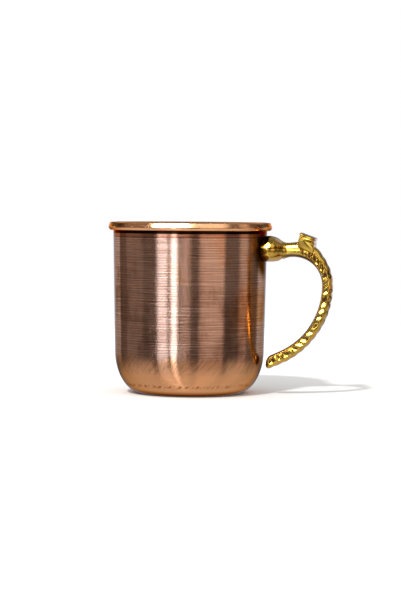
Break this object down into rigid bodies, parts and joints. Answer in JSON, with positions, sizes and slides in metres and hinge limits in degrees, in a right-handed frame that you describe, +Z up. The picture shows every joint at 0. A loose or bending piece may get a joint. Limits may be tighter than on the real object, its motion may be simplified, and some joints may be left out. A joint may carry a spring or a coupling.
{
  "type": "copper mug",
  "caption": "Straight-sided copper drinking mug with a rolled rim, rounded foot and a cast brass handle with a thumb rest and free lower end.",
  "frame": {"origin": "on the cup's axis, at the level of the flat base it stands on", "axes": "+Z up along the cup's axis, +X from the axis toward the handle, the XZ plane is the mirror plane"},
  "size_m": [0.1239, 0.0896, 0.093],
  "materials": {
    "body_copper": null,
    "handle_brass": "polished cast brass",
    "washer_brass": "turned brass",
    "screw_brass": "plain machined brass"
  },
  "bodies": {
    "root": {"body_shell": "body_copper", "handle": "handle_brass", "saddle_washer": "washer_brass", "handle_screw": "screw_brass"}
  },
  "joints": []
}
